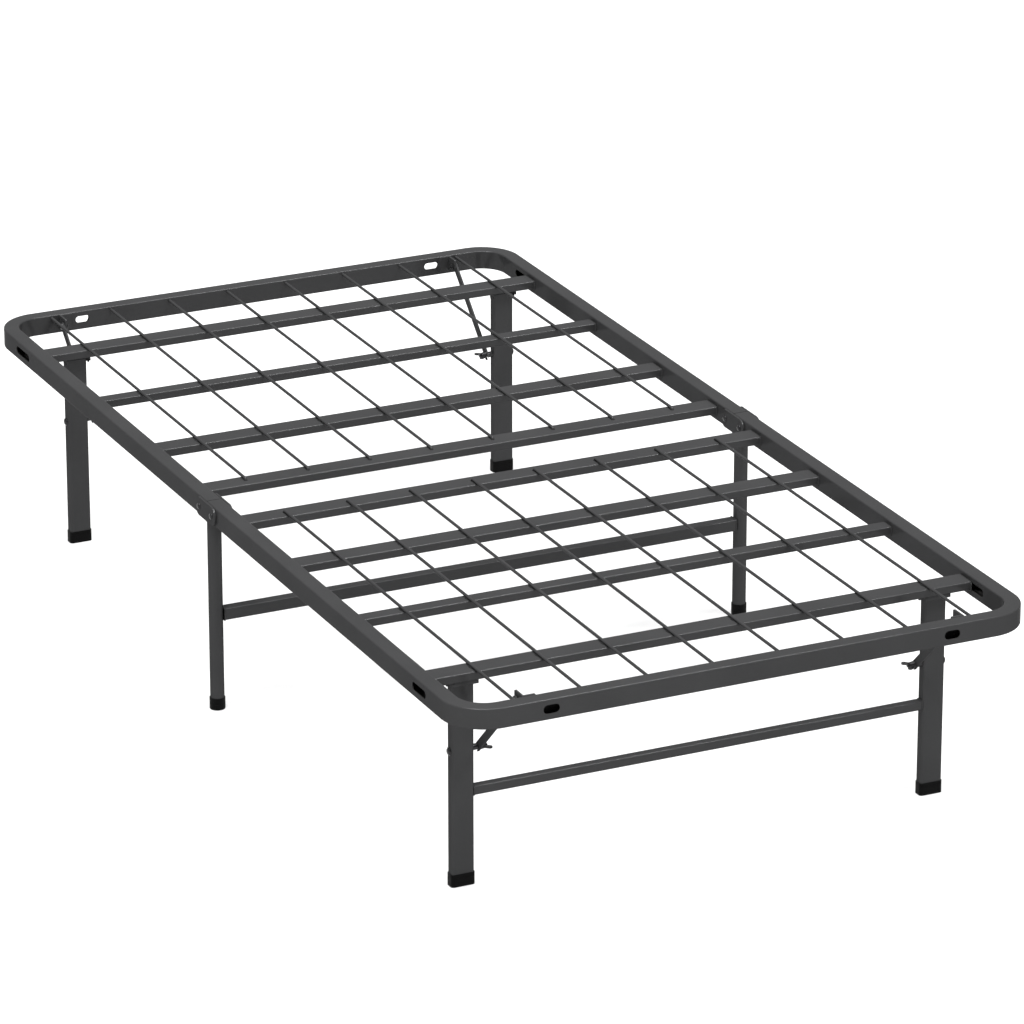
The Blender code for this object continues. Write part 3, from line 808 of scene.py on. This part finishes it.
def leg_bolt():
    """Carriage bolt with a washer outside, a spacer inside, and a threaded end for the wing nut."""
    face = LEG_X + LEG_WIDTH / 2
    inner_face = LEG_X - LEG_WIDTH / 2
    brace_face = BRACE_X + BRACE_SHEET + GAP
    head = [(r, z + face + 0.0010) for r, z in dome(0.0059, 0.0029)]
    washer = [(0.0059, face + 0.0009), (0.0068, face + 0.0009), (0.0069, face + 0.0006)]
    washer.append((0.0069, face - 0.0005))
    shank = [(BOLT_RADIUS, face - 0.0005), (BOLT_RADIUS, inner_face + 0.0005)]
    spacer = [(0.0045, inner_face + 0.0005), (0.005, inner_face - 0.0002), (0.005, brace_face + 0.0004)]
    spacer.append((0.0046, brace_face))
    end = thread(0.00275, brace_face, BOLT_END_X + 0.0006)
    end += [(0.0022, BOLT_END_X), (0, BOLT_END_X)]
    mesh = turned(head + washer + shank + spacer + end)
    return moved(mesh, Matrix.Translation((0, LEG_Y, BOLT_Z)) @ ALONG_X)


def pivot_pin():
    """The leg's pivot pin: a rod with domed ends just outside the bracket's cheeks."""
    low, high = BRACKET[0].x - 0.0009, BRACKET[1].x + 0.0009
    radius = 0.0022
    profile = [(r, z + high - 0.0008) for r, z in dome(radius, 0.0008, 4)]
    profile += [(r, low + 0.0008 - z) for r, z in reversed(dome(radius, 0.0008, 4))]
    place = Matrix.Translation((0, LEG_PIVOT.y, LEG_PIVOT.z)) @ ALONG_X
    return moved(turned(profile, 20), place)


def leg_cap():
    """A moulded cap: rounded foot, and straight sides with a shadow line round them."""
    low, high = LEG_CAP
    width, depth = high.x - low.x, high.y - low.y
    radius = LEG_EDGE + CAP_WALL
    solid = bevelled(flat([rounded_rectangle(width, depth, radius, 8)], CAP_HEIGHT), 0.0009, 3, 60)
    pocket = rounded_rectangle(LEG_WIDTH + 2 * GAP, LEG_DEPTH + 2 * GAP, LEG_EDGE + GAP, 8)
    inside = flat([pocket], CAP_HEIGHT)
    groove_outer = rounded_rectangle(width + 0.002, depth + 0.002, radius + 0.001, 8)
    groove_inner = rounded_rectangle(width - 0.0007, depth - 0.0007, radius - 0.00035, 8)
    groove = flat([groove_outer, groove_inner], 0.0009)
    groove_z = CAP_HEIGHT * 0.5 - 0.0045
    cap = cut(solid, shifted(inside, 0, 0, CAP_FLOOR), shifted(groove, 0, 0, groove_z))
    return shifted(cap, LEG_X, LEG_Y, CAP_HEIGHT / 2)


def wing_nut():
    """Pressed wing nut: a tapered hub with two ear-shaped wings."""
    low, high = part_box("wing_nut_head_right")
    reach = high.x - low.x
    hub = [(0, 0.0085), (0.0046, 0.0085), (0.0050, 0.0080), (0.0056, 0.0022), (0.0060, 0.0010)]
    hub += [(0.0060, 0.0003), (0.0057, 0.0), (0, 0.0)]
    outline = [(-0.0040, 0.0010), (0.0040, 0.0010), (0.0070, 0.0028)]
    outline += arc((0.0107, reach - 0.0042), 0.0040, -50, 140, 14)
    outline += [(0.0030, 0.0074), (-0.0030, 0.0074)]
    outline += arc((-0.0107, reach - 0.0042), 0.0040, 40, 230, 14)
    outline.append((-0.0070, 0.0028))
    upright = Matrix.Rotation(math.radians(90), 4, "X")
    wings = moved(bevelled(flat([outline], 0.0025), 0.0006, 3), upright)
    bore = rod((0, 0, -0.01), (0, 0, 0.03), 0.0030)
    away = Matrix.Rotation(math.radians(180), 4, "Z") @ ALONG_X
    place = Matrix.Translation((high.x, LEG_Y, BOLT_Z)) @ away
    return moved(cut(join(turned(hub), wings), bore), place)


def leg_bracket():
    """Pressed sheet bracket: an inverted tray with a round cheek at each end of the pin."""
    low, high = BRACKET
    sheet = Vector((BRACKET_SHEET, BRACKET_SHEET, BRACKET_SHEET))
    outer = bevelled(box((low.x, low.y, BRACKET_SKIRT), high), BRACKET_SHEET, 4)
    inside = box((low.x + BRACKET_SHEET, low.y - 0.01, low.z - 0.01), high - sheet)
    pivot = LEG_PIVOT.yz
    cheeks = bevelled(rod((low.x, *pivot), (high.x, *pivot), CHEEK_RADIUS, 40), 0.0003, 2, 60)
    hole = rod((low.x - 0.01, *pivot), (high.x + 0.01, *pivot), 0.0025)
    return cut(join(outer, cheeks), inside, hole)


def bracket_welds():
    low, high = BRACKET
    top = high.z + 0.0001
    front = [(low.x + 0.004, high.y, top), (high.x - 0.004, high.y, top)]
    left = [(low.x, low.y + 0.004, top), (low.x, high.y - 0.006, top)]
    right = [(high.x, low.y + 0.004, top), (high.x, high.y - 0.006, top)]
    return merged(*[weld_bead(path, 0.0012, seed=n) for n, path in enumerate((front, left, right))])


def make_legs():
    pieces = (
        ("leg", "leg_tube", leg_tube(), POWDER, "frame"),
        ("", "leg_bolt", leg_bolt(), STEEL, "fastener"),
        ("", "leg_pin", pivot_pin(), STEEL, "fastener"),
        ("leg_cap", "leg_cap_moulding", leg_cap(), PLASTIC, "cap"),
    )
    for end, side, mirror in corners():
        for node, name, mesh, material, slot in pieces:
            nodes = [f"{node}_{end}_{side}"] if node else []
            show(f"{name}_{end}_{side}", moved(mesh, mirror), leg_body(end, side), nodes, material)


def make_leg_fittings():
    nut, bracket, welds = wing_nut(), leg_bracket(), bracket_welds()
    for end, side, mirror in corners():
        where = f"{end}_{side}"
        show(f"wing_nut_pressing_{where}", moved(nut, mirror), f"wing_nut_{where}_body",
             [f"wing_nut_{where}"], STEEL)
        show(f"leg_bracket_sheet_{where}", moved(bracket, mirror), f"{end}_half",
             [f"leg_bracket_{where}"], POWDER)
        show(f"leg_bracket_welds_{where}", moved(welds, mirror), f"{end}_half", [], POWDER, 60)


def cross_tube(node, name, body, edge):
    """A crossbar between two legs, with a bead round each end."""
    low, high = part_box(node)
    size, middle = high - low, (high + low) / 2
    mesh = moved(tube(size.y, size.z, edge, size.x), Matrix.Translation(middle) @ ALONG_X)
    show(name, mesh, body, [node], POWDER)
    beads = []
    for x in (low.x, high.x):
        path = [(x, *point) for point in rounded_rectangle(size.y, size.z, edge, 3)]
        path = [(px, middle.y + py, middle.z + pz) for px, py, pz in path]
        beads.append(weld_bead(path, WELD_RADIUS * 0.8, closed=True, seed=x))
    show(f"{name}_welds", merged(*beads), body, [], POWDER, 60)


# --- Braces -----------------------------------------------------------------------------------


def brace():
    """Flat bar with a round upper end and a forked lower end, its edges slightly rounded."""
    span = Vector((0, LEG_Y, BOLT_Z)) - Vector((0, EAR_BOLT.y, EAR_BOLT.z))
    length = span.length
    tip, slot, mouth, nose = length + 0.008, 0.0035, 0.0045, 0.0025
    outline = arc((0, 0), BRACE_HALF, 90, 270, 20)
    outline += arc((tip - nose, nose - BRACE_HALF), nose, -90, -20, 6)
    outline.append((tip, -mouth))
    outline += arc((length, 0), slot, 270, 90, 16)
    outline.append((tip, mouth))
    outline += arc((tip - nose, BRACE_HALF - nose), nose, 20, 90, 6)
    bar = flat([outline, circle((0, 0), 0.003)], BRACE_SHEET)
    turn = Matrix.Rotation(math.atan2(span.z, span.y), 4, "X")
    middle = Vector((BRACE_X + BRACE_SHEET / 2, EAR_BOLT.y, EAR_BOLT.z))
    return moved(bevelled(bar, 0.0004, 2, 60), Matrix.Translation(middle) @ turn @ ALONG_X)


def brace_bracket():
    """Angle bracket: a thick flange on the end rail and a thinner ear with a sloping lower edge."""
    low, high = BRACE_BRACKET
    upper, lower = 0.002, 0.004
    outline = [(high.y, low.z), (high.y, high.z)]
    outline += arc((low.y + upper, high.z - upper), upper, 90, 180, 8)
    outline += arc((low.y + lower, EAR_TIP + lower), lower, 180, 245, 8)
    place = Matrix.Translation((EAR_FACE - EAR_SHEET / 2, 0, 0)) @ ALONG_X
    ear = moved(flat([outline], EAR_SHEET), place)
    flange = box((EAR_FACE - FLANGE_LENGTH, high.y - FLANGE_SHEET, low.z), (EAR_FACE, high.y, high.z))
    return bevelled(join(ear, flange), 0.0005, 2, 60)


def ear_bolt():
    """Pivot bolt of the brace: domed head outside, hexagon nut inside the ear."""
    outer = BRACE_X + BRACE_SHEET + GAP
    inner = EAR_FACE - EAR_SHEET
    head = [(r, z + outer + 0.0006) for r, z in dome(0.0054, 0.0028)]
    head += [(0.0056, outer + 0.0004), (0.0056, outer)]
    shank = [(0.0025, outer), (0.0025, inner - 0.0045), (0.0020, inner - 0.0050), (0, inner - 0.0050)]
    bolt = moved(turned(head + shank), Matrix.Translation((0, EAR_BOLT.y, EAR_BOLT.z)) @ ALONG_X)
    nut = bevelled(flat([arc((0, 0), 0.0052, 0, 360, 6)[:-1]], 0.0034), 0.0004, 2, 50)
    place = Matrix.Translation((inner - 0.0017, EAR_BOLT.y, EAR_BOLT.z)) @ ALONG_X
    return join(bolt, moved(nut, place))


def angle_welds():
    """Beads along two edges of the flange, on the end rail."""
    low, high = BRACE_BRACKET
    x0, x1 = EAR_FACE - FLANGE_LENGTH, BRACE_X - 0.005
    y = high.y + 0.0001
    paths = ([(x0, y, low.z + 0.002), (x0, y, high.z - 0.002)], [(x0 + 0.003, y, low.z), (x1, y, low.z)])
    return merged(*[weld_bead(path, 0.0013, seed=5 + n) for n, path in enumerate(paths)])


def make_braces():
    bar, angle, bolt, welds = brace(), brace_bracket(), ear_bolt(), angle_welds()
    for end, side, mirror in corners():
        where, half = f"{end}_{side}", f"{end}_half"
        show(f"brace_bar_{where}", moved(bar, mirror), f"brace_{where}_body",
             [f"brace_{where}"], FLAT_POWDER)
        show(f"angle_bracket_{where}", moved(angle, mirror), half,
             [f"brace_bracket_{where}"], POWDER)
        show(f"angle_bolt_{where}", moved(bolt, mirror), half, [], STEEL)
        show(f"angle_welds_{where}", moved(welds, mirror), half, [], POWDER, 60)


# --- Middle legs and folding seam -------------------------------------------------------------


def middle_leg():
    """A round tube with a closed top, and the web that stands between the link plates."""
    low, high = MIDDLE_LEG_BOX
    radius, top = MIDDLE_LEG_RADIUS, MIDDLE_LEG_TOP
    rim = [(radius - 0.0010, top), (radius - 0.0003, top - 0.0003), (radius, top - 0.0010)]
    rim.append((radius, low.z))
    solid = with_material(turned([(0, top), *rim, (0, low.z)], 48), POWDER)
    outline = [(0.0062, 0.3200), (0.0062, 0.3232), (0.0036, 0.3270), (0.0020, high.z)]
    outline += [(-y, z) for y, z in reversed(outline)]
    web = moved(flat([outline], high.x - low.x), ALONG_X)
    web = shifted(bevelled(web, 0.0004, 2, 50), (low.x + high.x) / 2, 0, 0)
    # The bore's near-black lining is painted shade inside the leg
    bore = rod((MIDDLE_LEG_X, 0, -0.01), (MIDDLE_LEG_X, 0, 0.312), radius - WALL, 32)
    return cut(join(shifted(solid, MIDDLE_LEG_X, 0, 0), web), with_material(bore, INSIDE_SHADE))


def web_welds():
    """Beads that hold the web to the two link plates."""
    low, high = MIDDLE_LEG_BOX
    beads = []
    for x in (low.x, high.x):
        for sign in (-1, 1):
            path = [(x, sign * 0.0061, 0.3234), (x, sign * 0.0037, 0.3268), (x, sign * 0.0022, 0.3290)]
            beads.append(weld_bead(path, 0.0011, seed=sign + x))
    return merged(*beads)


def middle_cap():
    """A round cap with a pocket for the tube and a shadow line half way up."""
    low, high = MIDDLE_CAP
    radius, pocket = (high.x - low.x) / 2, MIDDLE_LEG_RADIUS + GAP
    top = high.z
    profile = [(0, 0.003), (pocket, 0.003), (pocket, top - 0.0003), (pocket + 0.0003, top)]
    profile += [(radius - 0.0003, top), (radius, top - 0.0004), (radius, top * 0.5)]
    profile += [(radius - 0.0004, top * 0.5 - 0.0003), (radius - 0.0004, top * 0.5 - 0.0009)]
    profile += [(radius, top * 0.5 - 0.0012), (radius, 0.0014), (radius - 0.0004, 0.0004)]
    profile += [(radius - 0.0014, 0), (0, 0)]
    return shifted(turned(profile, 48), MIDDLE_LEG_X, 0, 0)


def link_outline():
    """A link plate from the side: a bar with round ends."""
    low, high = PLATE_OUT
    radius = (high.z - low.z) / 2
    center = (high.y - low.y) / 2 - radius
    points = arc((center, RAIL_MIDDLE), radius, -90, 90, 24)
    return points + arc((-center, RAIL_MIDDLE), radius, 90, 270, 24)


def rivet(y, z, face, out, length):
    """A domed rivet head on a plate's face, with a shank behind it."""
    head = dome(RIVET_RADIUS, RIVET_HEIGHT, 10) + [(RIVET_RADIUS, -0.0004)]
    shank = [(RIVET_SHANK, -0.0004), (RIVET_SHANK, -length), (0, -length)]
    mesh = turned(head + shank)
    if out < 0:
        mesh = moved(mesh, Matrix.Rotation(math.radians(180), 4, "X"))
    return moved(mesh, Matrix.Translation((face, y, z)) @ ALONG_X)


def link_plate(outside):
    """(plate, rivets) outside or inside the rail."""
    if outside:
        low, out = WIDTH / 2 + GAP, 1
        face, shank = low + PLATE_SHEET, PLATE_SHEET + RAIL_WIDTH
    else:
        low, out = INNER_X - GAP - PLATE_SHEET, -1
        face, shank = low, PLATE_SHEET / 2
    plate = bevelled(flat([link_outline()], PLATE_SHEET), 0.0006, 3, 60)
    plate = moved(plate, Matrix.Translation((low + PLATE_SHEET / 2, 0, 0)) @ ALONG_X)
    rivets = [rivet(y, RAIL_MIDDLE, face, out, shank) for y in (-LINK_PIVOT, LINK_PIVOT)]
    return plate, merged(*rivets)


def make_middle():
    leg, cap, welds = middle_leg(), middle_cap(), web_welds()
    plates = {"outer": link_plate(True), "inner": link_plate(False)}
    body = "center_frame"
    for side, sx in SIDES:
        mirror = Matrix.Diagonal((sx, 1, 1, 1))
        show(f"middle_leg_tube_{side}", moved(leg, mirror), body, [f"middle_leg_{side}"], POWDER)
        show(f"middle_cap_moulding_{side}", moved(cap, mirror), body,
             [f"middle_cap_{side}"], PLASTIC)
        show(f"web_welds_{side}", moved(welds, mirror), body, [], POWDER, 60)
        for layer, (plate, rivets) in plates.items():
            node = f"link_plate_{layer}_{side}"
            show(f"link_sheet_{layer}_{side}", moved(plate, mirror), body, [node], POWDER)
            show(f"link_rivets_{layer}_{side}", moved(rivets, mirror), body, [], STEEL)


bpy.context.scene.view_settings.view_transform = "Standard"
add_camera()
add_world(0.30)
add_light("key", "SUN", 5.5, 160, 89, angle=math.radians(50))
add_light("glint", "SUN", 1.05, 132, 58, angle=math.radians(8))
add_light("corner_glint", "SUN", 1.2, 238, 65, angle=math.radians(12))
add_stage()
make_rails()
make_slats()
make_wires()
make_legs()
make_leg_fittings()
cross_tube("foot_leg_crossbar", "foot_leg_cross_tube", "foot_legs", TUBE_EDGE)
cross_tube("middle_crossbar", "middle_cross_tube", "center_frame", TUBE_EDGE)
make_braces()
make_middle()
